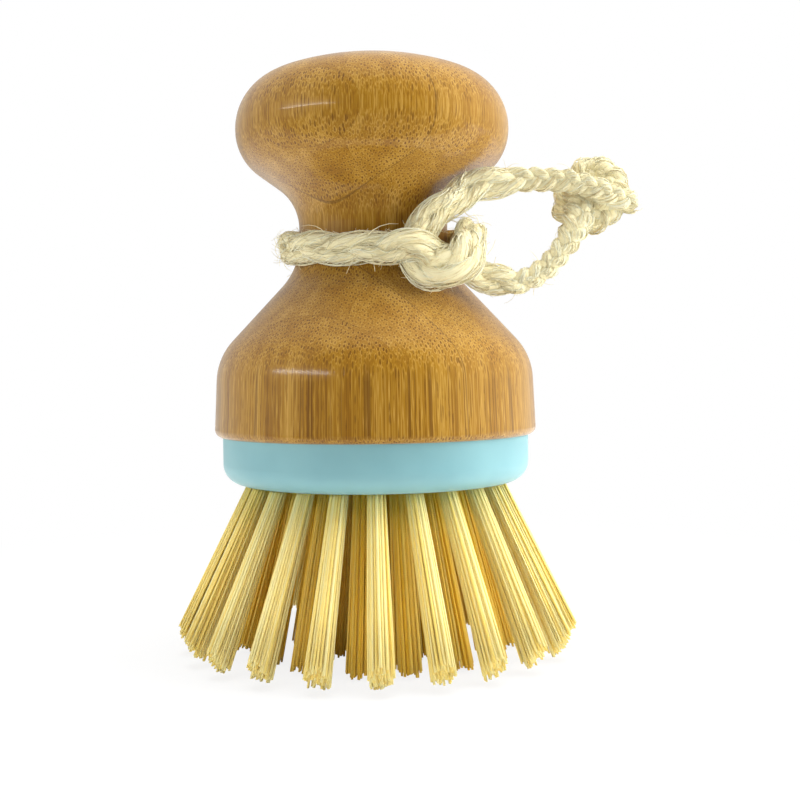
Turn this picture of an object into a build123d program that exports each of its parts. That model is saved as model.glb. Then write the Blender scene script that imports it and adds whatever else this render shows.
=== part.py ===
from build123d import *
import os
from math import cos, radians, sin, sqrt, tan

# Palm brush: a turned bamboo knob handle, a plastic head filled with tufts of
# fibre, and a cord tied round the neck. Millimetres, +Z up. The origin is on the
# handle's axis in the plane that the bristle tips stand on.

os.makedirs("parts", exist_ok=True)

# Heights of the three stacked parts
bristle_length = 27.0
head_thickness = 7.5
handle_height = 60.5

# Handle outline
base_foot_radius = 26.0
base_foot_round = 1.2
base_wall_height = 12.7
base_shoulder_radius = 25.4
shoulder_round = 10.0
shoulder_slope = 43.0
neck_radius = 12.0
neck_foot_round = 11.0
neck_head_round = 8.0
knob_under_slope = 54.0
knob_under_round = 8.0
knob_belly_band = 0.2
knob_radius = 22.0
knob_edge_round = 9.0
knob_dome_radius = 45.0

# Socket under the handle and the spigot glued into it
socket_radius = 15.0
socket_depth = 6.0
glue_gap = 0.1

# Plastic head
head_radius = 24.7
head_edge_round = 3.2

# Tuft holes, tufts and wire anchors
hole_radius = 1.55
hole_depth = 5.8
tuft_gap = 0.05
tuft_recess = 0.4
anchor_thickness = 0.3
anchor_height = 1.6
anchor_gap = 0.03
fold_thickness = 1.1

# Bristles
brush_radius = 32.5
trim_round = 6.0
strand_radius = 0.36
strand_sides = 4
strands_around = 8
strand_root_pitch_radius = 1.02
strand_tip_outward = 2.4
strand_tip_across = 1.75
strand_seat = 2.0
tip_unevenness = 0.9

# How the strands vary: degrees that a tuft and a strand are turned from the last,
# and steps of the wave that makes the tips uneven
tuft_twist_step = 40
strand_twist_step = 30
uneven_tuft_step = 1.7
uneven_strand_step = 2.4

# Rings of tufts: name, number of tufts, ring radius at the head as a share of the
# head's radius, ring radius at the tips as a share of the brush's radius, and how
# far the ring is turned, as a share of the step from tuft to tuft
ring_shares = [
    ("outer", 22, 0.790, 0.982, 0.5),
    ("second", 16, 0.567, 0.645, 0.6),
    ("third", 10, 0.352, 0.369, 0.5),
    ("centre", 4, 0.142, 0.145, 0.5),
]

# Cord: its size, its turn round the neck and its hand-chosen routes
cord_radius = 2.05
cord_turn_radius = 14.75
cord_turn_height = 64.9
cord_turn_dip = 6.3
cord_turn_start = -10.0
cord_turn_end = 260.0
run_share = 0.45

upper_leg_points = [
    (12.4, -11.0, 71.0),
    (14.4, -9.8, 72.6),
    (19.0, -8.9, 74.0),
    (25.0, -7.6, 74.5),
    (27.6, -7.3, 74.4),
]
lower_leg_points = [
    (18.8, -10.4, 58.75),
    (21.8, -9.9, 57.9),
    (26.4, -8.9, 59.9),
    (30.2, -7.9, 64.4),
    (31.3, -7.3, 66.5),
]
neck_knot_strands = [
    [
        (12.4, -11.0, 71.0),
        (10.4, -12.2, 69.4),
        (6.9, -14.1, 66.2),
        (5.3, -14.9, 62.4),
        (8.3, -15.7, 59.2),
        (12.3, -16.8, 60.4),
        (15.0, -14.4, 63.9),
        (15.0, -10.9, 66.6),
        (13.744, -6.951, 64.133),
        (14.526, -2.546, 64.619),
    ],
    [
        (-2.561, -14.438, 63.306),
        (1.378, -15.129, 63.23),
        (5.7, -18.0, 63.6),
        (10.3, -14.1, 61.9),
        (15.8, -10.9, 59.6),
        (18.8, -10.4, 58.75),
    ],
]
end_knot_strands = [
    [
        (27.6, -7.3, 74.4),
        (30.2, -7.0, 74.3),
        (34.6, -7.4, 73.2),
        (38.2, -6.2, 71.7),
        (41.4, -4.6, 71.1),
    ],
    [
        (31.3, -7.3, 66.5),
        (32.4, -6.7, 68.6),
        (32.9, -4.0, 72.2),
        (32.8, -2.9, 75.4),
        (35.4, -2.6, 76.95),
        (38.1, -3.2, 75.5),
        (38.9, -4.4, 72.6),
    ],
    [
        (35.1, -1.3, 73.9),
        (32.0, -1.6, 73.4),
        (30.7, -2.6, 70.8),
        (32.3, -4.1, 68.4),
        (35.4, -4.5, 68.5),
        (37.9, -4.0, 70.6),
    ],
]

# Heights and corners worked out from the sizes above
head_bottom = bristle_length
seam = head_bottom + head_thickness
top = seam + handle_height


# Handle: a turned outline with a blind socket
def fillet_run(radius, turn):
    return radius * tan(radians(turn) / 2)


shoulder_corner = seam + base_wall_height
neck_foot = shoulder_corner + (base_shoulder_radius - neck_radius) / tan(radians(shoulder_slope))
dome_centre = top - knob_dome_radius
edge_centre_radius = knob_radius - knob_edge_round
edge_centre_reach = knob_dome_radius - knob_edge_round
belly = dome_centre + sqrt(edge_centre_reach**2 - edge_centre_radius**2)
knob_under_corner = belly - knob_belly_band - fillet_run(knob_under_round, knob_under_slope)
neck_head = knob_under_corner - (knob_radius - neck_radius) / tan(radians(knob_under_slope))

# The two hollow curves of the neck share the neck's length between them
neck_curves = fillet_run(neck_foot_round, shoulder_slope) + fillet_run(neck_head_round, knob_under_slope)
neck_fill_share = 0.95
neck_limit_share = min(1.0, neck_fill_share * (neck_head - neck_foot) / neck_curves)

dome_edge_share = knob_dome_radius / edge_centre_reach
dome_edge = (edge_centre_radius * dome_edge_share, dome_centre + (belly - dome_centre) * dome_edge_share)

with BuildPart() as handle:
    with BuildSketch(Plane.XZ):
        with BuildLine():
            side = FilletPolyline(
                (0, seam),
                (base_foot_radius, seam),
                (base_shoulder_radius, shoulder_corner),
                (neck_radius, neck_foot),
                (neck_radius, neck_head),
                (knob_radius, knob_under_corner),
                (knob_radius, belly),
                radius=[
                    base_foot_round,
                    shoulder_round,
                    neck_foot_round * neck_limit_share,
                    neck_head_round * neck_limit_share,
                    knob_under_round,
                ],
            )
            edge = TangentArc(side @ 1, dome_edge, tangent=(0, 1))
            dome = TangentArc(edge @ 1, (0, top), tangent=edge % 1)
            Line(dome @ 1, side @ 0)
        make_face()
    revolve(axis=Axis.Z)
    with BuildSketch(Plane.XY.offset(seam)):
        Circle(socket_radius)
    extrude(amount=socket_depth, mode=Mode.SUBTRACT)
handle.part.label = "handle"
export_step(handle.part, "parts/handle.step")


# Where each tuft leaves the head: a plane at the mouth of its hole, whose Z axis
# runs out along the tuft
def tuft_mouths(count, head_share, brush_share, turn_share):
    mouth_radius = head_share * head_radius
    lean = brush_share * brush_radius - mouth_radius
    mouths = []
    for location in PolarLocations(mouth_radius, count, start_angle=360 * turn_share / count):
        outward = Vector(location.x_axis.direction)
        along = outward * lean - Vector(0, 0, bristle_length)
        across = Vector(location.y_axis.direction)
        origin = location.position + Vector(0, 0, head_bottom)
        mouths.append(Plane(origin=origin, x_dir=across, z_dir=along))
    return mouths


tuft_places = {}
for ring_name, count, head_share, brush_share, turn_share in ring_shares:
    for number, mouth in enumerate(tuft_mouths(count, head_share, brush_share, turn_share), start=1):
        tuft_places[f"{ring_name}_tuft_{number:02d}"] = mouth

# Plastic head: a disc with a rounded lower edge, a spigot and a blind hole a tuft
with BuildPart() as tuft_plate:
    with BuildSketch(Plane.XY.offset(head_bottom)):
        Circle(head_radius)
    extrude(amount=head_thickness)
    lower_edge = tuft_plate.edges().filter_by(GeomType.CIRCLE).sort_by(Axis.Z)[0]
    fillet(lower_edge, radius=head_edge_round)
    with BuildSketch(Plane.XY.offset(seam)):
        Circle(socket_radius - glue_gap)
    extrude(amount=socket_depth - glue_gap)
    with Locations(*tuft_places.values()):
        Hole(radius=hole_radius, depth=hole_depth)
tuft_plate.part.label = "tuft_plate"
export_step(tuft_plate.part, "parts/tuft_plate.step")

# Wire anchors: one flat strip across the fold of each tuft, between the hole's walls
fold_depth = hole_depth - fold_thickness
anchor_half_width = sqrt((hole_radius - anchor_gap) ** 2 - (anchor_thickness / 2) ** 2)
with BuildPart() as tuft_anchors:
    with BuildSketch(*[mouth.offset(-fold_depth) for mouth in tuft_places.values()]):
        Rectangle(2 * anchor_half_width, anchor_thickness)
    extrude(amount=anchor_height)
tuft_anchors.part.label = "tuft_anchors"
export_step(tuft_anchors.part, "parts/tuft_anchors.step")


# The brush is trimmed flat, with a rounded rim
def trim_height(radius):
    past_flat = min(max(radius - (brush_radius - trim_round), 0), trim_round)
    return past_flat**2 / trim_round


# A strand is a straight prism, cut level where it reaches the trimmed surface
def strand_end(root, tip, raise_by):
    short = 0.0
    full = 1.0
    for _ in range(20):
        middle = (short + full) / 2
        place = root + (tip - root) * middle
        if place.Z > trim_height(Vector(place.X, place.Y, 0).length) + raise_by:
            short = middle
        else:
            full = middle
    return (tip - root).length * full


# A tuft: a plug of folded fibre in the hole, with a window for its anchor, and its
# bundle of strands, which spreads a little on the way down, most away from the axis
def make_tuft(name, mouth, serial):
    plug_radius = hole_radius - tuft_gap
    root_height = head_bottom + strand_seat
    axis = mouth.z_dir
    across = mouth.x_dir
    outward = across.cross(Vector(0, 0, 1))
    root_centre = mouth.origin - axis * (strand_seat / -axis.Z)
    tip_centre = mouth.origin + axis * (bristle_length / -axis.Z)
    with BuildPart() as tuft:
        with BuildSketch(mouth.offset(-hole_depth)):
            Circle(plug_radius)
        extrude(amount=hole_depth - tuft_recess)
        with BuildSketch(mouth.offset(-fold_depth)):
            Rectangle(2 * hole_radius, anchor_thickness + 2 * anchor_gap)
        extrude(amount=anchor_height + anchor_gap, mode=Mode.SUBTRACT)
        strands = []
        for strand in range(strands_around + 1):
            spread = 0 if strand == strands_around else 1
            around = radians(360 * strand / strands_around + tuft_twist_step * serial)
            out_share = cos(around) * spread
            across_share = sin(around) * spread
            root = root_centre + (outward * out_share + across * across_share) * strand_root_pitch_radius
            tip = tip_centre + outward * (out_share * strand_tip_outward)
            tip = tip + across * (across_share * strand_tip_across)
            wave = sin(uneven_strand_step * strand + uneven_tuft_step * serial)
            raise_by = tip_unevenness * max(0, wave)
            with BuildSketch(Plane.XY.offset(root_height), mode=Mode.PRIVATE) as section:
                with Locations((root.X, root.Y)):
                    RegularPolygon(strand_radius, strand_sides, rotation=strand_twist_step * strand)
            length = strand_end(root, tip, raise_by)
            strands.append(extrude(section.sketch, amount=length, dir=tip - root, mode=Mode.PRIVATE))
        add(strands)
    tuft.part.label = name
    export_step(tuft.part, f"parts/{name}.step")
    return tuft


for serial, (tuft_name, tuft_mouth) in enumerate(tuft_places.items()):
    make_tuft(tuft_name, tuft_mouth, serial)


# Cord: each tube runs straight between its points, with an arc at each of them
def arc_radii(points):
    radii = []
    for before, corner, after in zip(points, points[1:], points[2:]):
        run_in = Vector(corner) - Vector(before)
        run_out = Vector(after) - Vector(corner)
        half_turn = radians(run_in.get_angle(run_out)) / 2
        radii.append(run_share * min(run_in.length, run_out.length) / tan(half_turn))
    return radii


def make_cord(name, strands):
    with BuildPart() as cord:
        tubes = []
        for points in strands:
            radii = arc_radii(points)
            with BuildLine(mode=Mode.PRIVATE) as route:
                FilletPolyline(*points, radius=radii)
            first_run = Vector(points[1]) - Vector(points[0])
            with BuildSketch(Plane(origin=points[0], z_dir=first_run), mode=Mode.PRIVATE) as section:
                Circle(cord_radius)
            tubes.append(sweep(section.sketch, path=route.wire(), mode=Mode.PRIVATE))
            print(name, "length", round(route.wire().length, 1), "radii", [round(r, 1) for r in radii])
        add(tubes)
    cord.part.label = name
    export_step(cord.part, f"parts/{name}.step")
    return cord


make_cord("cord_upper_leg", [upper_leg_points])
make_cord("cord_lower_leg", [lower_leg_points])
make_cord("cord_neck_knot", neck_knot_strands)
make_cord("cord_end_knot", end_knot_strands)

# The cord's turn round the neck is one arc, which dips towards the front
with BuildPart() as cord_neck_turn:
    with BuildLine(Plane.XY.offset(cord_turn_height).rotated((cord_turn_dip, 0, 0))):
        turn = CenterArc(
            (0, 0),
            cord_turn_radius,
            cord_turn_start,
            cord_turn_end - cord_turn_start,
        )
    with BuildSketch(Plane(origin=turn @ 0, z_dir=turn % 0)):
        Circle(cord_radius)
    sweep()
cord_neck_turn.part.label = "cord_neck_turn"
export_step(cord_neck_turn.part, "parts/cord_neck_turn.step")
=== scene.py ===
# %% [markdown]
# # A palm brush with a bamboo knob, a plastic head, stiff fibre tufts and a hanging cord
#
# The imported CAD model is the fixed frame: the wood, the head and the wire anchors are
# used as they stand and only get a finish. The fibre tufts and the cord are soft, so
# their plain CAD solids are replaced here by real filaments and yarns that fill the
# same space. Everything is in metres, in the same frame as the CAD.

# %% Load the frame
from math import cos, pi, radians, sin, tan

import bpy
from mathutils import Matrix, Vector


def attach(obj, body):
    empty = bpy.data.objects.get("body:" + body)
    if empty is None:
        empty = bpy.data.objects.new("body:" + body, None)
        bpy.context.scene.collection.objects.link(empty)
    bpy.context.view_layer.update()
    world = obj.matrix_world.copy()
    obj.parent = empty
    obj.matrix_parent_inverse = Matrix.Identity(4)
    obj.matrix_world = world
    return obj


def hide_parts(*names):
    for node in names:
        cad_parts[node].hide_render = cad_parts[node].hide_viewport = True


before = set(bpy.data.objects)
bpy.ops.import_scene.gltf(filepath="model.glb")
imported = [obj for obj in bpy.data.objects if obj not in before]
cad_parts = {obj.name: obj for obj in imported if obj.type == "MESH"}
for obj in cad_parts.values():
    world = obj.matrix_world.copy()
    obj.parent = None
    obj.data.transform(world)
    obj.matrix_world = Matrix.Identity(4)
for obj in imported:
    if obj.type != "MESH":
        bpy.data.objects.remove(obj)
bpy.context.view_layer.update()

mm = 0.001

# %% [markdown]
# ## The camera
# The photograph is taken from close by, a little below half the brush's height. A ring
# that lies lower, such as the seam between the wood and the head, bows downwards in
# front, and one that lies higher bows upwards. The distance, the height and the lens come
# from how strongly they bow. The brush also leans a little in the picture, which is a
# roll of the camera. No shift is needed, because the camera looks a little beside the
# axis and downwards.

# %% Place the camera
image_width_px = 800
focal_length_px = 1146.2
sensor_width = 36.0
camera_distance = 187.1 * mm
camera_height = 45.7 * mm
look_right = radians(1.225)
look_down = radians(1.744)
camera_roll = radians(0.68)

camera_data = bpy.data.cameras.new("camera")
camera_data.sensor_width = sensor_width
camera_data.lens = focal_length_px / image_width_px * sensor_width
camera_data.clip_start = 5 * mm
camera = bpy.data.objects.new("camera", camera_data)
bpy.context.scene.collection.objects.link(camera)
bpy.context.scene.camera = camera

look = Vector((tan(look_right), 1, -tan(look_down)))
turn_to_look = look.to_track_quat("-Z", "Y").to_matrix()
camera.rotation_euler = (turn_to_look @ Matrix.Rotation(-camera_roll, 3, "Z")).to_euler()
camera.location = (0, -camera_distance, camera_height)
print("lens:", round(camera_data.lens, 2), "mm")

# %% [markdown]
# ## Writing node trees
# The floor, the wood's grain, the filaments and the plaited cord are all made by node
# trees. A node tree written link by link is hard to read, so this small helper adds one
# node in each call and gives back its output. A plain number or another node's output can
# be passed as an input.


# %% A helper for node trees
class Nodes:
    def __init__(self, tree):
        self.tree = tree

    def add(self, kind, inputs=(), output=0, **settings):
        """Adds one node, sets it, connects its inputs and gives one of its outputs."""
        node = self.tree.nodes.new(kind)
        for name, value in settings.items():
            setattr(node, name, value)
        self.fill(node, dict(inputs))
        return node.outputs[output]

    def fill(self, node, inputs):
        """Sets or connects several inputs of a node."""
        for key, value in inputs.items():
            self.put(node.inputs[key], value)

    def put(self, socket, value):
        if isinstance(value, bpy.types.NodeSocket):
            self.tree.links.new(value, socket)
        else:
            socket.default_value = value

    def math(self, operation, *values):
        return self.add("ShaderNodeMath", enumerate(values), operation=operation)

    def total(self, start, *parts):
        """A start value plus each part times its weight."""
        for value, weight in parts:
            start = self.math("ADD", start, self.math("MULTIPLY", value, weight))
        return start

    def between(self, value, low, high, at_low=0.0, at_high=1.0, **settings):
        """Goes from one value to another while the given value goes from low to high."""
        inputs = {"Value": value, "From Min": low, "From Max": high, "To Min": at_low, "To Max": at_high}
        return self.add("ShaderNodeMapRange", inputs, **settings)

    def vector(self, operation, *values):
        return self.add("ShaderNodeVectorMath", enumerate(values), operation=operation)

    def length(self, vector):
        return self.add("ShaderNodeVectorMath", {0: vector}, output="Value", operation="LENGTH")

    def scale(self, vector, factor):
        return self.add("ShaderNodeVectorMath", {"Vector": vector, "Scale": factor}, operation="SCALE")

    def combine(self, x, y, z):
        return self.add("ShaderNodeCombineXYZ", {"X": x, "Y": y, "Z": z})

    def axis(self, vector, index):
        return self.add("ShaderNodeSeparateXYZ", {"Vector": vector}, output=index)

    def object_place(self):
        return self.add("ShaderNodeTexCoord", output="Object")

    def attribute(self, name, output="Fac"):
        return self.add("ShaderNodeAttribute", output=output, attribute_name=name)

    def noise(self, place, stretch, detail, roughness=0.5):
        """Noise that is finer along an axis with a larger stretch."""
        place = self.vector("MULTIPLY", place, stretch)
        inputs = {"Vector": place, "Scale": 1.0, "Detail": detail, "Roughness": roughness}
        return self.add("ShaderNodeTexNoise", inputs)

    def even_noise(self, place, scale, detail, output=0):
        return self.add("ShaderNodeTexNoise", {"Vector": place, "Scale": scale, "Detail": detail}, output)

    def bump(self, height, strength, depth):
        return self.add("ShaderNodeBump", {"Height": height, "Strength": strength, "Distance": depth})

    def ramp(self, factor, stops):
        """A colour ramp, from pairs of place and colour: the two ends, then what lies between."""
        output = self.add("ShaderNodeValToRGB", {"Fac": factor})
        elements = output.node.color_ramp.elements
        for index, (place, colour) in enumerate(stops):
            element = elements[index] if index < 2 else elements.new(place)
            element.position = place
            element.color = colour
        return output

    def mix(self, factor, first, second):
        """A blend of two colours."""
        return self.add("ShaderNodeMix", {0: factor, 6: first, 7: second}, output=2, data_type="RGBA")


def rgb(red, green, blue):
    """A colour read off as 0 to 255 in sRGB, as Blender's linear values."""
    linear = [((c / 255 + 0.055) / 1.055) ** 2.4 for c in (red, green, blue)]
    return (*linear, 1)


def grey(level):
    return (level, level, level, 1)


def new_material(name):
    """A material, the helper for its tree, and its shader."""
    material = bpy.data.materials.new(name)
    material.use_nodes = True
    tree = material.node_tree
    return material, Nodes(tree), tree.nodes["Principled BSDF"]


def white_to_camera(n, output_name, lit, white, share=1.0):
    """Shows a white shader to the camera's own rays only. All other rays meet the lit one."""
    seen = n.add("ShaderNodeLightPath", output="Is Camera Ray")
    shown = n.add("ShaderNodeMixShader", {0: n.math("MULTIPLY", seen, share), 1: lit, 2: white})
    n.put(n.tree.nodes[output_name].inputs["Surface"], shown)


print("sRGB middle grey is", round(rgb(128, 128, 128)[0], 3), "in linear values")

# %% [markdown]
# ## The floor and the light
# The product picture has a white ground with almost no shadow, and the light comes from
# all round, so the sides of the brush are paler than its middle. A floor and a curved
# backdrop could do that, but a plain floor and a world that are white to the camera alone
# are simpler. The object itself is lit by a weaker, grey world and two large soft panels,
# and a narrow window at the left leaves its streak on the lacquer. The camera stands in a
# dark room, which a lacquered, rounded thing shows in its front: one dark card stands
# behind the camera, and another lies on the floor before the brush, where it darkens
# only what the lacquer mirrors.

# %% Floor
floor_size = 1.2
floor_grey = 0.86
floor_glow_near = 0.84
glow_starts = 60 * mm
glow_full = 150 * mm

floor_mesh = bpy.data.meshes.new("floor")
half = floor_size / 2
floor_corners = [(-half, -half, 0), (half, -half, 0), (half, half, 0), (-half, half, 0)]
floor_mesh.from_pydata(floor_corners, [], [(0, 1, 2, 3)])
floor = bpy.data.objects.new("floor", floor_mesh)
bpy.context.scene.collection.objects.link(floor)

floor_material, n, shader = new_material("floor")
n.fill(shader, {"Base Color": grey(floor_grey), "Roughness": 0.9})
distance = n.length(n.object_place())
glow_share = n.between(
    distance, glow_starts, glow_full, floor_glow_near, 1.0, interpolation_type="SMOOTHSTEP"
)
glow = n.add("ShaderNodeEmission", {"Color": grey(1)})
white_to_camera(n, "Material Output", shader.outputs[0], glow, glow_share)
floor_mesh.materials.append(floor_material)
print("floor:", floor_size, "m wide")

# %% World and lamps
world_grey = 0.62
world_strength = 0.94
object_middle = Vector((0, 0, 50 * mm))

world = bpy.data.worlds.new("studio")
bpy.context.scene.world = world
world.use_nodes = True
n = Nodes(world.node_tree)
lighting = world.node_tree.nodes["Background"]
n.fill(lighting, {"Color": grey(world_grey), "Strength": world_strength})
backdrop = n.add("ShaderNodeBackground", {"Color": grey(1)})
white_to_camera(n, "World Output", lighting.outputs[0], backdrop)


def soft_lamp(name, place, size, watts, mirrored):
    """A rectangle of light that faces the object. The lacquer shows it only where mirrored."""
    lamp = bpy.data.lights.new(name, "AREA")
    lamp.shape = "RECTANGLE"
    lamp.size, lamp.size_y = size
    lamp.energy = watts
    holder = bpy.data.objects.new(name, lamp)
    bpy.context.scene.collection.objects.link(holder)
    holder.location = place
    holder.rotation_euler = (object_middle - holder.location).to_track_quat("-Z", "Y").to_euler()
    holder.visible_glossy = mirrored


soft_lamp("window_left", (-0.42, -0.31, 0.21), (0.42, 0.035), 0.75, mirrored=True)
soft_lamp("panel_right", (0.60, -0.06, 0.26), (0.45, 0.50), 4.6, mirrored=False)
soft_lamp("panel_top", (0.08, 0.02, 0.75), (0.60, 0.60), 6.0, mirrored=False)
bpy.context.scene.view_settings.view_transform = "Standard"

# %% Dark cards
card_half_width = 0.60
card_height = 0.90
card_lift = 0.001
room_y = -0.48
table_end_y = -0.055
card_grey = 0.04

card_material, n, shader = new_material("dark_card")
n.fill(shader, {"Base Color": grey(card_grey), "Roughness": 1.0})


def dark_card(name, near_edge, far_edge, only_mirrored):
    """A black rectangle between two edges, each given by its Y and Z. The camera never sees it."""
    mesh = bpy.data.meshes.new(name)
    corners = []
    for y, z in (near_edge, far_edge):
        corners += [(-card_half_width, y, z), (card_half_width, y, z)]
    mesh.from_pydata(corners, [], [(0, 1, 3, 2)])
    mesh.materials.append(card_material)
    card = bpy.data.objects.new(name, mesh)
    bpy.context.scene.collection.objects.link(card)
    card.visible_camera = False
    card.visible_diffuse = not only_mirrored
    card.visible_shadow = not only_mirrored


dark_card("dark_room", (room_y, card_lift), (room_y, card_height), only_mirrored=False)
dark_card("dark_table_end", (table_end_y, card_lift), (room_y, card_lift), only_mirrored=True)

# %% [markdown]
# ## Bamboo
# Bamboo has no year rings. It is pale tissue with thousands of darker fibre bundles that
# all run up the stem. Where the lathe cuts across them, on the shoulder and round the
# knob, they show as small brown dots. Where it cuts along them they show as dashes, on the
# neck and the side of the knob, and on the straight wall of the drum as long thin lines.
# An image could not do all that on one turned shape. A solid texture can: the pattern is
# a field of dots in X and Y that hardly changes with Z, and the surface's own slope
# decides how much of each sort shows.

# %% Sizes in the bamboo
strip_angle = radians(-30)
strip_thickness = 7.3 * mm
strip_width = 18.0 * mm
strip_shift = 0.42
first_glue_plane = -19.8 * mm
first_strip_edge = 6.4 * mm
glue_line = 0.08 * mm
glue_darkness = 0.10
clear_glue_plane = 1.0
clear_glue_darkness = 0.35
edge_glue_darkness = 0.14
pattern_jump = 30 * mm
grain_wander = 0.45 * mm
bundle_pitch = 0.58 * mm
wall_radius = 25.9 * mm
wall_fades_in = 2.0 * mm
wall_full = 0.5 * mm
wander_stretch = (60.0, 60.0, 6.0)
streak_stretch = (5200.0, 5200.0, 208.0)
broad_stretch = (420.0, 420.0, 6.0)
dash_stretch = (1500.0, 1500.0, 520.0)
wall_streak_stretch = (6700.0, 6700.0, 16.0)
wall_line_stretch = (760.0, 760.0, 5.0)

# %% [markdown]
# The blank is glued up from strips. Each strip gets its own tone and its own dots. Thin
# dark glue lines lie between the strips, most of them faint and one of them clear. The
# grain is worked out in three parts, each by a function of its own: the strips, the dots,
# and the lines that only the wall of the drum shows.


# %% The strips, the dots and the lines
def glued_strips(n, turned):
    """The depth in a strip's layer, a random colour for each strip, and the glue lines."""
    layers = n.math("DIVIDE", n.math("SUBTRACT", n.axis(turned, 1), first_glue_plane), strip_thickness)
    layer = n.math("FLOOR", layers)
    in_layer = n.math("SUBTRACT", layers, layer)
    widths = n.math("DIVIDE", n.math("SUBTRACT", n.axis(turned, 0), first_strip_edge), strip_width)
    widths = n.total(widths, (layer, strip_shift))
    strip = n.combine(n.math("FLOOR", widths), layer, 0.0)
    strip_random = n.add("ShaderNodeTexWhiteNoise", {"Vector": strip}, output="Color")

    to_layer_glue = n.math("MULTIPLY", n.math("PINGPONG", layers, 0.5), strip_thickness)
    to_edge_glue = n.math("MULTIPLY", n.math("PINGPONG", widths, 0.5), strip_width)
    is_clear = n.math("COMPARE", n.math("ROUND", layers), clear_glue_plane, 0.1)
    darkness = n.total(glue_darkness, (is_clear, clear_glue_darkness))
    layer_glue = n.math("MULTIPLY", n.math("LESS_THAN", to_layer_glue, glue_line), darkness)
    edge_glue = n.math("MULTIPLY", n.math("LESS_THAN", to_edge_glue, glue_line), edge_glue_darkness)
    return in_layer, strip_random, n.math("MAXIMUM", layer_glue, edge_glue)


def bundle_dots(n, moved, in_layer):
    """The cut ends of the fibre bundles, and the paler halo round each."""
    cells = {"Vector": n.scale(moved, 1 / bundle_pitch), "Scale": 1.0, "Randomness": 0.62}
    bundle = n.add("ShaderNodeTexVoronoi", cells, output="Distance", voronoi_dimensions="2D")
    bundle_random = n.add("ShaderNodeTexVoronoi", cells, output="Color", voronoi_dimensions="2D")
    dots = n.ramp(bundle, [(0.0, grey(0.55)), (0.28, grey(0)), (0.10, grey(0.95)), (0.20, grey(1))])
    halo = n.ramp(bundle, [(0.26, grey(0)), (0.48, grey(0)), (0.35, grey(1))])
    dots = n.math("MULTIPLY", dots, n.total(0.68, (n.axis(bundle_random, 0), 0.45)))
    return n.math("MULTIPLY", dots, n.between(in_layer, 0.05, 0.8, 0.6, 1.0)), halo


def wall_lines(n, turned, strip_random, wall):
    """Fine streaks and single dark lines, which run straight up the wall of the drum."""
    around = n.vector("NORMALIZE", n.vector("MULTIPLY", turned, (1, 1, 0)))
    on_wall = n.vector("ADD", n.scale(around, wall_radius), n.vector("MULTIPLY", turned, (0, 0, 1)))
    on_wall = n.vector("ADD", on_wall, n.scale(strip_random, pattern_jump))
    streak = n.noise(on_wall, wall_streak_stretch, 2.0, 0.6)
    line = n.noise(on_wall, wall_line_stretch, 1.0)
    line = n.ramp(line, [(0.468, grey(0)), (0.532, grey(0)), (0.490, grey(1)), (0.510, grey(1))])
    return streak, n.math("MULTIPLY", line, n.math("MULTIPLY", wall, 0.65))


# %% Bamboo material
def bamboo():
    material, n, shader = new_material("bamboo")
    place = n.object_place()
    turned = n.add("ShaderNodeMapping", {"Vector": place, "Rotation": (0, 0, -strip_angle)})
    wander = n.even_noise(n.vector("MULTIPLY", place, wander_stretch), 1.0, 1.0, output="Color")
    wander = n.scale(n.vector("SUBTRACT", wander, (0.5, 0.5, 0.5)), grain_wander)
    grain = n.vector("ADD", turned, n.vector("MULTIPLY", wander, (1, 1, 0)))
    in_layer, strip_random, glue = glued_strips(n, turned)
    moved = n.vector("ADD", grain, n.scale(strip_random, pattern_jump))

    facing = n.math("ABSOLUTE", n.axis(n.add("ShaderNodeNewGeometry", output="Normal"), 2))
    steep = n.between(facing, 0.05, 0.5, 1.0, 0.0)
    radius = n.length(n.vector("MULTIPLY", turned, (1, 1, 0)))
    drum = n.between(radius, wall_radius - wall_fades_in, wall_radius - wall_full)
    wall = n.math("MULTIPLY", steep, drum)

    dots, halo = bundle_dots(n, moved, in_layer)
    dashes = n.between(n.noise(moved, dash_stretch, 1.0), 0.45, 0.58, 0.0, 0.7)
    left_out = n.math("MULTIPLY", steep, n.math("SUBTRACT", 1.0, dashes))
    dots = n.math("MULTIPLY", dots, n.math("SUBTRACT", 1.0, left_out))
    wall_streak, line = wall_lines(n, turned, strip_random, wall)
    streak = n.noise(moved, streak_stretch, 3.0, 0.65)
    streak = n.add("ShaderNodeMix", {0: wall, 2: streak, 3: wall_streak})
    broad = n.noise(moved, broad_stretch, 2.0)

    fine = n.math("MULTIPLY", n.math("SUBTRACT", streak, 0.5), n.total(0.6, (wall, 0.1)))
    strip_tone = n.math("SUBTRACT", n.axis(strip_random, 0), 0.5)
    tone = n.total(
        n.math("ADD", 0.5, fine), (n.math("SUBTRACT", broad, 0.5), 0.35), (strip_tone, 0.06), (halo, 0.10)
    )
    body = n.ramp(tone, [(0.36, rgb(134, 88, 6)), (0.66, rgb(192, 149, 64)), (0.50, rgb(163, 117, 22))])
    wood = n.mix(n.math("MAXIMUM", n.math("MULTIPLY", dots, 0.8), line), body, rgb(98, 58, 0))
    relief = n.bump(n.total(n.math("MULTIPLY", dots, -0.8), (streak, 0.5)), 0.25, 0.05 * mm)
    n.fill(shader, {
        "Base Color": n.mix(glue, wood, rgb(78, 46, 6)),
        "Roughness": n.total(0.45, (dots, 0.12)),
        "Normal": relief,
        "Coat Normal": relief,
        "Sheen Weight": 0.2,
        "Specular IOR Level": 0.12,
        "Coat Weight": 0.5,
        "Coat Roughness": 0.16,
    })
    return material


def finish_node(name, material):
    """Gives a CAD node its finish, in all its material slots."""
    for slot in bpy.data.objects[name].material_slots:
        slot.material = material


finish_node("handle", bamboo())

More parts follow.
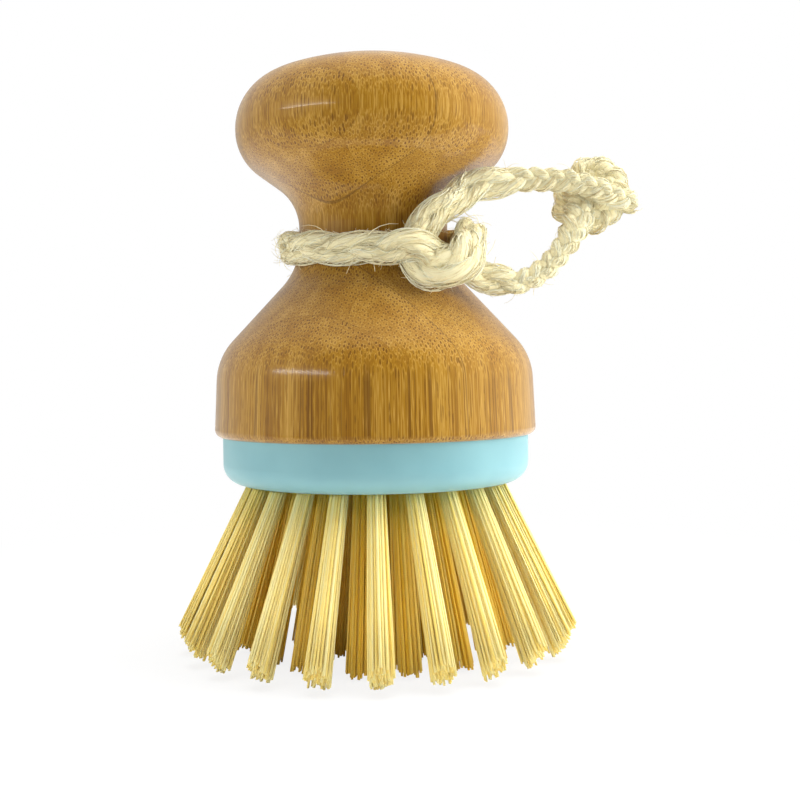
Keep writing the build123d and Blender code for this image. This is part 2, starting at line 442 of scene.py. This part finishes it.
# %% [markdown]
# ## The plastic head
# A moulded plastic disc is never perfectly even: it has a soft sheen, a slight orange
# peel from the mould and a little light that goes into the surface. The CAD shape is
# right, rounded edge and tuft holes included, so it only needs that finish. The wire
# anchors in the holes are plain drawn steel.


# %% Head and wire materials
def blue_plastic():
    material, n, shader = new_material("blue_plastic")
    place = n.object_place()
    cloud = n.even_noise(place, 70.0, 3.0)
    peel = n.even_noise(place, 900.0, 2.0)
    n.fill(shader, {
        "Base Color": n.ramp(cloud, [(0.3, rgb(129, 179, 186)), (0.7, rgb(141, 191, 196))]),
        "Roughness": n.total(0.36, (cloud, 0.12)),
        "Normal": n.bump(peel, 0.12, 0.05 * mm),
        "Subsurface Weight": 0.15,
        "Subsurface Radius": (1.0, 1.4, 1.5),
        "Subsurface Scale": 1.0 * mm,
    })
    return material


def steel_wire():
    material, n, shader = new_material("wire")
    drawn = n.even_noise(n.object_place(), 3000.0, 2.0)
    n.fill(shader, {
        "Metallic": 1.0,
        "Base Color": n.ramp(drawn, [(0.3, rgb(150, 150, 148)), (0.7, rgb(186, 186, 184))]),
        "Roughness": n.total(0.28, (drawn, 0.2)),
    })
    return material


finish_node("tuft_plate", blue_plastic())
finish_node("tuft_anchors", steel_wire())

# %% [markdown]
# ## The fibre tufts
# Each hole holds a folded bundle of stiff plant fibre. The filaments leave the head close
# together, spread a little and end where the brush was trimmed: flat, with a rounded
# rim, and not quite even. Particle hair would not leave a solid mesh, and thousands of
# objects would be heavy, so one Geometry Nodes tree makes a whole ring of tufts: it puts
# a slim six-sided prism at the origin for each filament, then moves every prism's points
# onto its own line from root to tip. The outer ring is the palest. The inner ones, which
# show in the gaps, get a deeper colour as painted shade, standing in for the light that
# reaches them only through other fibre.

# %% Sizes of the tufts
bristle_length = 27.0 * mm
head_radius = 24.7 * mm
brush_radius = 32.5 * mm
trim_height = 6.0 * mm
trim_width = 4.3 * mm
# Name, tufts, mouths' share of head_radius, feet's share of brush_radius, turn, and the
# painted paleness, which paints shade on the inner rings as a deeper colour
rings = [
    ("outer", 22, 0.790, 0.982, 0.5, 1.0),
    ("second", 16, 0.567, 0.645, 0.6, 0.2),
    ("third", 10, 0.352, 0.369, 0.5, 0.1),
    ("centre", 4, 0.142, 0.145, 0.5, 0.0),
]
filaments_per_tuft = 76
golden_angle = radians(137.508)
tuft_twist = 2.1
filament_radius = 0.20 * mm
root_spread = 1.27 * mm
tip_spread_outward = 2.55 * mm
tip_spread_across = 1.92 * mm
root_sunk = 0.6 * mm
tip_unevenness = 1.6 * mm
tuft_unevenness = 0.3 * mm
tuft_lean = 0.5 * mm
filament_stray = 0.14 * mm
filament_bow = 0.08 * mm
trim_rounds = 8


# %% A helper for Geometry Nodes
class GeometryTree(Nodes):
    """A Geometry Nodes tree with named inputs."""

    def __init__(self, name):
        super().__init__(bpy.data.node_groups.new(name, "GeometryNodeTree"))
        self.tree.interface.new_socket("Geometry", in_out="INPUT", socket_type="NodeSocketGeometry")
        self.tree.interface.new_socket("Geometry", in_out="OUTPUT", socket_type="NodeSocketGeometry")
        self.entry = self.tree.nodes.new("NodeGroupInput")
        self.exit = self.tree.nodes.new("NodeGroupOutput")
        self.sockets = {}

    def input(self, name, kind="NodeSocketFloat"):
        self.sockets[name] = self.tree.interface.new_socket(name, in_out="INPUT", socket_type=kind)
        return self.entry.outputs[name]

    def store(self, geometry, name, value, kind="FLOAT", domain="POINT"):
        inputs = {"Geometry": geometry, "Name": name, "Value": value}
        return self.add("GeometryNodeStoreNamedAttribute", inputs, data_type=kind, domain=domain)

    def read(self, name, kind="FLOAT"):
        return self.add("GeometryNodeInputNamedAttribute", {"Name": name}, data_type=kind)

    def random(self, low, high, seed, index, draw=0):
        """A random number for each index. Another draw gives other numbers from the same seed."""
        if draw:
            seed = self.math("ADD", seed, draw)
        inputs = {2: low, 3: high, "Seed": seed, "ID": index}
        return self.add("FunctionNodeRandomValue", inputs, output=1, data_type="FLOAT")

    def random_aside(self, reach, seed, index, draw):
        """A random step in X and Y, from two draws."""
        x, y = [self.random(-reach, reach, seed, index, draw + extra) for extra in (0, 1)]
        return self.combine(x, y, 0.0)

    def turn(self, y=0.0, z=0.0):
        return self.add("FunctionNodeEulerToRotation", {"Euler": self.combine(0.0, y, z)})

    def without(self, geometry, *names):
        """Drops attributes that nothing reads any more."""
        for name in names:
            geometry = self.add("GeometryNodeRemoveAttribute", {"Geometry": geometry, "Name": name})
        return geometry

    def result(self, geometry, material):
        finished = self.add("GeometryNodeSetMaterial", {"Geometry": geometry, "Material": material})
        self.put(self.exit.inputs[0], finished)


def grown(name, start_mesh, tree, values, material):
    """Runs a tree on a mesh and keeps the result as a plain mesh object."""
    maker = bpy.data.objects.new(name + "_maker", start_mesh)
    bpy.context.scene.collection.objects.link(maker)
    modifier = maker.modifiers.new("maker", "NODES")
    modifier.node_group = tree.tree
    for key, value in values.items():
        modifier[tree.sockets[key].identifier] = value
    graph = bpy.context.evaluated_depsgraph_get()
    mesh = bpy.data.meshes.new_from_object(maker.evaluated_get(graph), depsgraph=graph)
    maker.modifiers.remove(modifier)
    bpy.data.objects.remove(maker)
    mesh.name = name
    piece = bpy.data.objects.new(name, mesh)
    bpy.context.scene.collection.objects.link(piece)
    mesh.materials.clear()
    mesh.materials.append(material)
    mesh.calc_loop_triangles()
    print(name, "triangles:", len(mesh.loop_triangles))
    return piece


# %% The tree that makes one ring of tufts
def trimmed_height(n, radius):
    """Height of the trimmed surface at a distance from the axis: flat, then curving up."""
    share = n.math("DIVIDE", n.math("SUBTRACT", radius, brush_radius - trim_width), trim_width)
    share = n.math("MINIMUM", n.math("MAXIMUM", share, 0.0), 1.0)
    rest = n.math("SQRT", n.math("SUBTRACT", 1.0, n.math("MULTIPLY", share, share)))
    return n.math("MULTIPLY", n.math("SUBTRACT", 1.0, rest), trim_height)


def share_kept(n, root, foot, raised):
    """How much of the line from root to foot the trim leaves, found in a few rounds."""
    root_axis_distance = n.length(n.vector("MULTIPLY", root, (1, 1, 0)))
    foot_axis_distance = n.length(foot)
    height = raised
    for _ in range(trim_rounds):
        down_share = n.math("SUBTRACT", 1.0, n.math("DIVIDE", height, bristle_length))
        reach = n.math("SUBTRACT", foot_axis_distance, root_axis_distance)
        radius = n.total(root_axis_distance, (reach, down_share))
        reached = n.math("ADD", trimmed_height(n, radius), raised)
        height = n.math("MULTIPLY", n.math("ADD", height, reached), 0.5)
    return n.math("SUBTRACT", 1.0, n.math("DIVIDE", height, bristle_length))


def filament_lines(n, tufts, mouth_radius, foot_radius, turn_share, index, seed):
    """Root and tip of each filament in a ring."""
    tuft = n.math("FLOOR", n.math("DIVIDE", n.math("ADD", index, 0.5), filaments_per_tuft))
    filament = n.math("SUBTRACT", index, n.math("MULTIPLY", tuft, filaments_per_tuft))
    turn = n.math("MULTIPLY", n.math("DIVIDE", n.math("ADD", tuft, turn_share), tufts), 2 * pi)
    outward = n.combine(n.math("COSINE", turn), n.math("SINE", turn), 0.0)
    across = n.combine(n.math("MULTIPLY", n.math("SINE", turn), -1.0), n.math("COSINE", turn), 0.0)

    around = n.total(n.math("MULTIPLY", filament, golden_angle), (tuft, tuft_twist))
    from_middle = n.math("SQRT", n.math("DIVIDE", n.math("ADD", filament, 0.5), filaments_per_tuft))
    from_middle = n.math("MULTIPLY", from_middle, n.random(0.93, 1.05, seed, index))
    out_share = n.math("MULTIPLY", n.math("COSINE", around), from_middle)
    across_share = n.math("MULTIPLY", n.math("SINE", around), from_middle)

    root_out = n.scale(outward, n.total(mouth_radius, (out_share, root_spread)))
    root_across = n.scale(across, n.math("MULTIPLY", across_share, root_spread))
    root = n.vector("ADD", n.vector("ADD", root_out, root_across), (0, 0, bristle_length))
    foot_out = n.total(foot_radius, (out_share, tip_spread_outward))
    foot_across = n.math("MULTIPLY", across_share, tip_spread_across)
    foot_across = n.math("ADD", foot_across, n.random(-tuft_lean, tuft_lean, seed, tuft, draw=20))
    foot = n.vector("ADD", n.scale(outward, foot_out), n.scale(across, foot_across))
    foot = n.vector("ADD", foot, n.random_aside(filament_stray, seed, index, draw=11))

    uneven = n.math("POWER", n.random(0.0, 1.0, seed, index, draw=13), 0.8)
    raised = n.math("MULTIPLY", uneven, tip_unevenness)
    raised = n.math("ADD", raised, n.random(0.0, tuft_unevenness, seed, tuft, draw=14))
    kept = share_kept(n, root, foot, raised)
    along = n.vector("SUBTRACT", foot, root)
    tip = n.vector("ADD", root, n.scale(along, kept))
    return n.vector("SUBTRACT", root, n.scale(along, root_sunk / bristle_length)), tip


def tuft_tree(material):
    n = GeometryTree("ring_of_tufts")
    tufts = n.input("Tufts", "NodeSocketInt")
    mouth_radius = n.input("Mouth radius")
    foot_radius = n.input("Foot radius")
    turn_share = n.input("Turn share")
    painted_paleness = n.input("Painted paleness")
    seed = n.input("Seed", "NodeSocketInt")
    points = n.add("GeometryNodePoints", {"Count": n.math("MULTIPLY", tufts, filaments_per_tuft)})
    index = n.add("GeometryNodeInputIndex")
    root, tip = filament_lines(n, tufts, mouth_radius, foot_radius, turn_share, index, seed)
    points = n.store(points, "root", root, "FLOAT_VECTOR")
    points = n.store(points, "tip", tip, "FLOAT_VECTOR")
    bow = n.random_aside(filament_bow, seed, index, draw=15)
    points = n.store(points, "bow", bow, "FLOAT_VECTOR")
    points = n.store(points, "thickness", n.random(0.8, 1.12, seed, index, draw=17))
    # Painted shade: a ring with less paleness gets a lower tone, so a deeper colour.
    tone = n.math("MULTIPLY", painted_paleness, 0.6)
    points = n.store(points, "tone", n.math("ADD", tone, n.random(0.0, 0.4, seed, index, draw=18)))

    prism = n.add(
        "GeometryNodeMeshCylinder",
        {"Vertices": 6, "Side Segments": 3, "Fill Segments": 1, "Radius": 1.0, "Depth": 1.0},
    )
    sides = prism.node.outputs["Side"]
    prism = n.add("GeometryNodeSetShadeSmooth", {"Geometry": prism, "Selection": sides, "Shade Smooth": True})
    turned = n.turn(z=n.random(0.0, 2 * pi, seed, index, draw=19))
    filaments = {"Points": points, "Instance": prism, "Rotation": turned}
    filaments = n.add("GeometryNodeInstanceOnPoints", filaments)
    filaments = n.add("GeometryNodeRealizeInstances", {"Geometry": filaments})

    here = n.add("GeometryNodeInputPosition")
    down = n.math("SUBTRACT", 0.5, n.axis(here, 2))
    root = n.read("root", "FLOAT_VECTOR")
    line = n.vector("SUBTRACT", n.read("tip", "FLOAT_VECTOR"), root)
    place = n.vector("ADD", root, n.scale(line, down))
    bend = n.math("SINE", n.math("MULTIPLY", down, pi))
    place = n.vector("ADD", place, n.scale(n.read("bow", "FLOAT_VECTOR"), bend))
    girth = n.math("MULTIPLY", n.read("thickness"), filament_radius)
    place = n.vector("ADD", place, n.scale(n.vector("MULTIPLY", here, (1, 1, 0)), girth))
    filaments = n.add("GeometryNodeSetPosition", {"Geometry": filaments, "Position": place})
    n.result(n.without(filaments, "root", "tip", "bow", "thickness"), material)
    return n


# %% Filament material
def fibre():
    material, n, shader = new_material("bristle")
    mottle = n.noise(n.object_place(), (1600.0, 1600.0, 90.0), 1.0)
    shade = n.total(n.math("MULTIPLY", n.attribute("tone"), 0.85), (mottle, 0.15))
    # The deep amber end is mostly the inner rings' painted shade; the rest is random tone.
    stops = [(0.1, rgb(253, 200, 50)), (0.9, rgb(255, 239, 168)), (0.6, rgb(255, 224, 126))]
    n.fill(shader, {
        "Base Color": n.ramp(shade, stops),
        "Roughness": 0.5,
        "Specular IOR Level": 0.2,
        "Subsurface Weight": 0.2,
        "Subsurface Radius": (0.6, 0.5, 0.3),
        "Subsurface Scale": 1.0 * mm,
    })
    return material


# %% Make the rings of tufts
bristle = fibre()
maker = tuft_tree(bristle)
for ring_seed, (ring, count, head_share, brush_share, turn_share, painted_paleness) in enumerate(rings, start=1):
    values = {
        "Tufts": count,
        "Mouth radius": head_share * head_radius,
        "Foot radius": brush_share * brush_radius,
        "Turn share": turn_share,
        "Painted paleness": painted_paleness,
        "Seed": 100 * ring_seed,
    }
    piece = grown(f"{ring}_tufts", bpy.data.meshes.new("empty"), maker, values, bristle)
    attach(piece, "brush")
    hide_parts(*[f"{ring}_tuft_{number:02d}" for number in range(1, count + 1)])

# %% [markdown]
# ## The hanging cord
# The cord is soft plant fibre, laid up as a flat three-strand plait. It comes out of a
# knot at the far right, runs in to the neck, ties a half hitch, goes once round the
# neck, passes over itself and runs out again to the same end knot. A bent tube would
# look like plastic, so the cord is made from its route: one smooth open curve through
# listed control points, which the strands and every fibre in them then follow.

# %% The cord's route
first_tail = [
    (41.4, -4.6, 71.1),
    (38.2, -6.2, 71.7),
    (34.6, -7.4, 73.2),
    (30.2, -7.0, 74.3),
    (27.6, -7.3, 74.4),
]
upper_leg = [(25.0, -7.6, 74.5), (19.0, -8.9, 74.0), (14.4, -9.8, 72.6), (12.4, -11.0, 71.0)]
hitch_in = [
    (10.4, -12.2, 69.4),
    (6.9, -14.1, 66.2),
    (5.3, -14.9, 62.4),
    (8.3, -15.7, 59.2),
    (12.3, -16.8, 60.4),
    (15.0, -14.4, 63.9),
    (15.0, -10.9, 66.6),
    (13.7, -6.95, 64.6),
]
hitch_out = [
    (1.4, -14.9, 63.2),
    (5.7, -17.6, 63.6),
    (10.3, -14.5, 61.9),
    (15.8, -10.9, 59.6),
    (18.8, -10.4, 58.75),
]
lower_leg = [(21.8, -9.9, 57.9), (26.4, -8.9, 59.9), (30.2, -7.9, 64.4), (31.3, -7.3, 66.5)]
end_knot = [
    (32.4, -6.7, 68.6),
    (32.9, -4.0, 72.2),
    (32.8, -2.9, 75.4),
    (35.4, -2.6, 76.95),
    (38.1, -3.2, 75.5),
    (38.9, -4.4, 72.6),
    (37.9, -4.0, 70.6),
    (35.4, -4.5, 68.5),
    (32.3, -4.1, 68.4),
    (30.7, -2.6, 70.8),
    (32.0, -1.6, 73.4),
    (35.1, -1.3, 73.9),
    (39.6, -2.4, 72.4),
]
neck_turn_radius = 14.1
neck_turn_height = 64.9
neck_turn_dip = radians(6.3)
neck_turn_start = radians(-10)
neck_turn_end = radians(260)
neck_turn_points = 13
spline_steps = 10

neck_turn = []
for step in range(neck_turn_points):
    angle = neck_turn_start + (neck_turn_end - neck_turn_start) * step / (neck_turn_points - 1)
    right = neck_turn_radius * cos(angle)
    back = neck_turn_radius * sin(angle)
    neck_turn.append((right, back * cos(neck_turn_dip), neck_turn_height + back * sin(neck_turn_dip)))

route = first_tail + upper_leg + hitch_in + neck_turn + hitch_out + lower_leg + end_knot
route_curve = bpy.data.curves.new("cord_route", "CURVE")
route_curve.dimensions = "3D"
route_curve.resolution_u = spline_steps
spline = route_curve.splines.new("NURBS")
spline.points.add(len(route) - 1)
for point, place in zip(spline.points, route):
    point.co = (*(Vector(place) * mm), 1)
spline.order_u = 3
spline.use_endpoint_u = True

route_object = bpy.data.objects.new("cord_route", route_curve)
bpy.context.scene.collection.objects.link(route_object)
graph = bpy.context.evaluated_depsgraph_get()
centreline_mesh = bpy.data.meshes.new_from_object(route_object.evaluated_get(graph), depsgraph=graph)
bpy.data.objects.remove(route_object)
centreline = [v.co.copy() for v in centreline_mesh.vertices]
run = [0.0]
for before, after in zip(centreline, centreline[1:]):
    run.append(run[-1] + (after - before).length)
print("cord length:", round(run[-1] / mm, 1), "mm,", len(centreline), "points on the centreline")

# %% [markdown]
# ### How the plait lies along the route
# A plait is flat, so it needs to know which way is up at each point. Round the neck its
# flat side lies against the wood, and in the free loop it faces the viewer. It is pulled
# long round the neck and through the hitch, so that it looks more twisted than plaited
# there, it spreads like a fan where it turns over in the hitch, and it is fuller in the
# end knot. Those facts are worked out for each point of the centreline and written on it
# as attributes, so that the node tree that lays the fibres only has to read them.

# %% Frames and looseness along the route
plait_pitch = 7.6 * mm
wound_pitch = 26.0 * mm
wound_radius = 15.6 * mm
free_radius = 20.0 * mm
pulled_radius = 20.8 * mm
plaited_radius = 25.0 * mm
smoothing_reach = 1.6 * mm
fan_middle = Vector((11.5, -16.3, 60.6)) * mm
fan_reach = 6.0 * mm
fan_full_share = 0.4
end_knot_reach = 42.0 * mm
tied_fade = 3 * mm
viewer = Vector((0, -1, 0))


def smooth_step(value, low, high):
    share = min(max((value - low) / (high - low), 0.0), 1.0)
    return share * share * (3 - 2 * share)


def smoothed(values, reach):
    """A running average over a stretch of the cord each side of every point."""
    result = []
    for here in run:
        total = values[0] * 0
        weight = 0.0
        for there, value in zip(run, values):
            near = 1 - abs(there - here) / reach
            if near > 0:
                total = total + value * near
                weight = weight + near
        result.append(total / weight)
    return result


# %% Work them out at each point
tangents = []
lifts = []
wound = []
fans = []
for index, place in enumerate(centreline):
    before = centreline[max(index - 1, 0)]
    after = centreline[min(index + 1, len(centreline) - 1)]
    tangent = (after - before).normalized()
    distance = Vector((place.x, place.y, 0)).length
    free = smooth_step(distance, wound_radius, free_radius)
    lift = Vector((place.x, place.y, 0)).normalized() * (1 - free) + viewer * free
    tangents.append(tangent)
    lifts.append((lift - tangent * lift.dot(tangent)).normalized())
    wound.append(1 - smooth_step(distance, pulled_radius, plaited_radius))
    fan = 1 - smooth_step((place - fan_middle).length, fan_full_share * fan_reach, fan_reach)
    fans.append(fan if run[index] < run[-1] / 2 else 0.0)
lifts = smoothed(lifts, smoothing_reach)
sides = []
for index, tangent in enumerate(tangents):
    lift = lifts[index] - tangent * lifts[index].dot(tangent)
    lifts[index] = lift.normalized()
    sides.append(tangent.cross(lifts[index]))

phase = [0.0]
for index in range(1, len(centreline)):
    pitch = plait_pitch + (wound_pitch - plait_pitch) * wound[index]
    phase.append(phase[-1] + (run[index] - run[index - 1]) / pitch)

end_knot_start = run[-1] - end_knot_reach
tied = [smooth_step(here, end_knot_start - tied_fade, end_knot_start + tied_fade) for here in run]


# %% Write them on the centreline
def write_attribute(mesh, name, kind, values):
    attribute = mesh.attributes.new(name, kind, "POINT")
    for entry, value in zip(attribute.data, values):
        if kind == "FLOAT_VECTOR":
            entry.vector = value
        else:
            entry.value = value


write_attribute(centreline_mesh, "side", "FLOAT_VECTOR", sides)
write_attribute(centreline_mesh, "lift", "FLOAT_VECTOR", lifts)
for name, amounts in (("phase", phase), ("wound", wound), ("fan", fans), ("tied", tied), ("run", run)):
    write_attribute(centreline_mesh, name, "FLOAT", amounts)
print("turns of the plait:", round(phase[-1], 1))

# %% [markdown]
# ### The plaited strands
# In a three-strand plait each strand swings from side to side once a pitch, a third of a
# pitch after its neighbour, and rises and falls twice in that time to pass over and
# under the others. The tree copies the centreline once for each thread, moves each copy
# by that swing and by its own place in its strand, and sweeps a section along it. It runs
# twice: with one full thread a strand for the body of the cord, and with many thin ones
# that lie on it. The finest fibres are too thin to model, so the body also gets them as a
# texture, which needs a coordinate that twists along with the strand.

# %% Sizes of the plait
strands = 3
fibres_per_strand = 28
fibre_sides = 3
fibre_radius = 0.085 * mm
strand_radius = 0.98 * mm
body_radius = 0.90 * mm
body_sides = 14
# Painted shade: the body gets a darker tone than its fibres, so the gaps between them show as dark lines.
gap_shade_tone = 0.25
plait_swing = 0.88 * mm
plait_rise = 0.46 * mm
fibre_twist = 0.9
laid_step = 0.60 * mm
wound_wider = 0.30
fan_wider = 0.40
tied_wider = 0.25
pulled_fuller = 0.14
wander_scale = 240.0
wander_around = 3.4
wander_apart = 3.7
lane_apart = 0.01
deepest_fibre = 0.84
fibre_depth_range = 0.38
thinnest_fibre = 0.75
fibre_girth_range = 0.5


# %% Where a thread lies in the plait
def strand_swing(n, strand, swing, rise):
    """A strand's place in the flat plait: side to side once a pitch, up and down twice."""
    swings = n.total(n.math("MULTIPLY", n.read("phase"), 2 * pi), (strand, 2 * pi / strands))
    sideways = n.math("MULTIPLY", n.math("SINE", swings), swing)
    upwards = n.math("MULTIPLY", n.math("SINE", n.math("MULTIPLY", swings, 2.0)), rise)
    return sideways, upwards


def loosening(n):
    """How much wider and fuller the plait is at each point than in the free loop."""
    wound = n.read("wound")
    tied = n.read("tied")
    wider = n.total(n.math("MULTIPLY", wound, wound_wider), (n.read("fan"), fan_wider))
    width = n.total(n.math("ADD", 1.0, wider), (tied, tied_wider))
    fuller = n.total(n.math("MULTIPLY", wound, pulled_fuller), (tied, pulled_fuller))
    return width, n.math("ADD", 1.0, fuller)


def wandering(n, number):
    """Slow noise, other for each thread, so that no two threads lie quite side by side."""
    apart = n.math("MULTIPLY", number, wander_apart)
    here = n.add("GeometryNodeInputPosition")
    inputs = {"Vector": here, "W": apart, "Scale": wander_scale, "Detail": 1.0}
    return n.add("ShaderNodeTexNoise", inputs, output="Color", noise_dimensions="4D")


# %% The tree that lays the threads
def plait_tree(name, material, threads, sides):
    """Lays a number of threads in each strand. A single thread is the strand's whole body."""
    n = GeometryTree(name)
    swing = n.input("Swing")
    rise = n.input("Rise")
    strand_radius = n.input("Strand radius")
    thread_radius = n.input("Thread radius")
    seed = n.input("Seed", "NodeSocketInt")

    line = n.add("GeometryNodeMeshToCurve", {"Mesh": n.entry.outputs["Geometry"]})
    line = n.add("GeometryNodeResampleCurve", {"Curve": line, "Length": laid_step}, mode="LENGTH")
    amount = strands * threads
    copies = n.add("GeometryNodeDuplicateElements", {"Geometry": line, "Amount": amount}, domain="SPLINE")
    copies = n.store(copies, "number", copies.node.outputs["Duplicate Index"], "INT", "CURVE")
    number = n.read("number", "INT")
    strand = n.math("FLOOR", n.math("DIVIDE", n.math("ADD", number, 0.5), threads))
    thread = n.math("SUBTRACT", number, n.math("MULTIPLY", strand, threads))

    sideways, upwards = strand_swing(n, strand, swing, rise)
    width, fuller = loosening(n)
    wander = wandering(n, number)
    twist = n.math("MULTIPLY", n.read("phase"), 2 * pi * fibre_twist)
    around = n.math("ADD", n.math("MULTIPLY", thread, 2 * pi / threads), twist)
    around = n.total(around, (n.math("SUBTRACT", n.axis(wander, 0), 0.5), wander_around))
    depth = n.total(deepest_fibre, (n.axis(wander, 1), fibre_depth_range))
    out = n.math("MULTIPLY", strand_radius, depth)
    out = n.math("MULTIPLY", out, fuller if threads > 1 else 0.0)
    sideways = n.total(sideways, (out, n.math("COSINE", around)))
    upwards = n.total(upwards, (out, n.math("SINE", around)))
    aside = n.scale(n.read("side", "FLOAT_VECTOR"), n.math("MULTIPLY", sideways, width))
    move = n.vector("ADD", aside, n.scale(n.read("lift", "FLOAT_VECTOR"), upwards))
    copies = n.add("GeometryNodeSetPosition", {"Geometry": copies, "Offset": move})

    if threads > 1:
        girth = n.total(thinnest_fibre, (n.axis(wander, 2), fibre_girth_range))
        tone = n.random(0.0, 1.0, seed, number)
    else:
        girth = n.math("MULTIPLY", fuller, n.math("MULTIPLY", n.total(1.0, (width, 0.6)), 0.625))
        tone = gap_shade_tone
    copies = n.store(copies, "girth", girth)
    copies = n.store(copies, "tone", tone, "FLOAT", "CURVE")
    section = n.add("GeometryNodeCurvePrimitiveCircle", {"Resolution": sides, "Radius": thread_radius})
    section = n.store(section, "lane", n.add("GeometryNodeInputPosition"), "FLOAT_VECTOR")
    swept = n.add(
        "GeometryNodeCurveToMesh",
        {"Curve": copies, "Profile Curve": section, "Scale": n.read("girth"), "Fill Caps": True},
    )
    lane = {"Vector": n.read("lane", "FLOAT_VECTOR"), "Angle": twist}
    lane = n.add("ShaderNodeVectorRotate", lane, rotation_type="Z_AXIS")
    lane = n.vector("ADD", lane, n.combine(n.math("MULTIPLY", number, lane_apart), 0.0, n.read("run")))
    swept = n.store(swept, "lane", lane, "FLOAT_VECTOR")
    swept = n.add("GeometryNodeSetShadeSmooth", {"Geometry": swept, "Shade Smooth": True})
    n.result(n.without(swept, "side", "lift", "girth", "number", "phase", "fan", "tied", "run"), material)
    return n


# %% Cord material
def plant_fibre(name):
    material, n, shader = new_material(name)
    streak = n.noise(n.attribute("lane", "Vector"), (9000.0, 9000.0, 500.0), 2.0, 0.6)
    patch = n.even_noise(n.object_place(), 260.0, 1.0)
    shade = n.total(n.math("MULTIPLY", n.attribute("tone"), 0.45), (streak, 0.45), (patch, 0.10))
    stops = [(0.24, rgb(216, 194, 134)), (0.68, rgb(255, 253, 222)), (0.38, rgb(252, 242, 196))]
    n.fill(shader, {
        "Base Color": n.ramp(shade, stops),
        "Normal": n.bump(streak, 1.0, 0.14 * mm),
        "Roughness": 0.8,
        "Specular IOR Level": 0.3,
        "Sheen Weight": 0.4,
        "Sheen Roughness": 0.5,
    })
    return material


# %% Lay the cord
cord_fibre = plant_fibre("cord")
values = {
    "Swing": plait_swing,
    "Rise": plait_rise,
    "Strand radius": strand_radius,
    "Thread radius": body_radius,
}
body_tree = plait_tree("cord_body", cord_fibre, 1, body_sides)
cord = grown("plaited_cord", centreline_mesh, body_tree, values, cord_fibre)
values["Thread radius"] = fibre_radius
values["Seed"] = 8
fibre_tree = plait_tree("cord_fibres", cord_fibre, fibres_per_strand, fibre_sides)
fibres = grown("cord_fibres", centreline_mesh, fibre_tree, values, cord_fibre)

# %% [markdown]
# ### Fuzz
# Natural cord is hairy: fibre ends stand off it all the way, most of them short and lying
# nearly flat, and longer where it goes round the neck and through the hitch. Without them
# it looks moulded. A second tree scatters thin bent hairs over the cord's surface, each
# one tipped over from the surface's normal, and a few of them much longer than the rest.
# It runs twice, for the short ends that stand off most and for finer, longer hairs that
# lie flatter.

# %% The tree that makes the fuzz
# Name, hairs per square metre, length, radius, and the least and most tilt in degrees
fuzz_runs = [
    ("cord_fuzz", 1.55e6, 1.3 * mm, 0.034 * mm, 25, 84),
    ("cord_hairs", 1.55e6, 2.2 * mm, 0.018 * mm, 50, 90),
]
hair_start = (0, 0, 0)
hair_middle = (0.05 * mm, 0.2 * mm, 0.6 * mm)
hair_end = (0.65 * mm, 0.1 * mm, 0.85 * mm)
hair_unit = 1.0 * mm
hair_taper = 0.6
shortest_share = 0.3
longer_power = 3.0
stray_power = 90.0
stray_share = 1.3
free_loop_share = 0.6


def fuzz_tree(material):
    n = GeometryTree("fuzz")
    density = n.input("Hairs per square metre")
    length = n.input("Hair length")
    thin = n.input("Hair radius")
    least_tilt = n.input("Least tilt")
    most_tilt = n.input("Most tilt")
    seed = n.input("Seed", "NodeSocketInt")
    surface = n.entry.outputs["Geometry"]
    spots = n.add("GeometryNodeDistributePointsOnFaces", {"Mesh": surface, "Density": density, "Seed": seed})
    spots = n.store(spots, "normal", spots.node.outputs["Normal"], "FLOAT_VECTOR")
    index = n.add("GeometryNodeInputIndex")

    bent = n.add(
        "GeometryNodeCurveQuadraticBezier",
        {"Resolution": 4, "Start": hair_start, "Middle": hair_middle, "End": hair_end},
    )
    section = n.add("GeometryNodeCurvePrimitiveCircle", {"Resolution": 3, "Radius": thin})
    taper = n.math("SUBTRACT", 1.0, n.math("MULTIPLY", n.add("GeometryNodeSplineParameter"), hair_taper))
    hair = n.add(
        "GeometryNodeCurveToMesh",
        {"Curve": bent, "Profile Curve": section, "Scale": taper, "Fill Caps": True},
    )

    normal = n.read("normal", "FLOAT_VECTOR")
    turned = n.add("FunctionNodeAlignRotationToVector", {"Vector": normal}, axis="Z")
    spin = n.turn(z=n.random(0.0, 2 * pi, seed, index, draw=1))
    tip_over = n.turn(y=n.random(least_tilt, most_tilt, seed, index, draw=2))
    for more in (spin, tip_over):
        inputs = {"Rotation": turned, "Rotate By": more}
        turned = n.add("FunctionNodeRotateRotation", inputs, rotation_space="LOCAL")
    chance = n.random(0.0, 1.0, seed, index, draw=3)
    stray = n.math("POWER", chance, stray_power)
    longer = n.total(n.math("POWER", chance, longer_power), (stray, stray_share))
    looser = n.total(free_loop_share, (n.read("wound"), 1 - free_loop_share))
    size = n.math("MULTIPLY", n.math("ADD", shortest_share, longer), n.math("DIVIDE", length, hair_unit))
    size = n.math("MULTIPLY", size, looser)
    hairs = n.add(
        "GeometryNodeInstanceOnPoints",
        {"Points": spots, "Instance": hair, "Rotation": turned, "Scale": n.combine(size, size, size)},
    )
    hairs = n.add("GeometryNodeRealizeInstances", {"Geometry": hairs})
    n.result(n.without(hairs, "normal", "wound", "lane"), material)
    return n


fuzz_maker = fuzz_tree(cord_fibre)
fuzz = []
for fuzz_seed, (name, density, length, thin, least_tilt, most_tilt) in enumerate(fuzz_runs, start=3):
    values = {
        "Hairs per square metre": density,
        "Hair length": length,
        "Hair radius": thin,
        "Least tilt": radians(least_tilt),
        "Most tilt": radians(most_tilt),
        "Seed": fuzz_seed,
    }
    fuzz.append(grown(name, cord.data, fuzz_maker, values, cord_fibre))

for piece in (cord, fibres, *fuzz):
    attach(piece, "cord")
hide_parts("cord_neck_turn", "cord_neck_knot", "cord_upper_leg", "cord_lower_leg", "cord_end_knot")
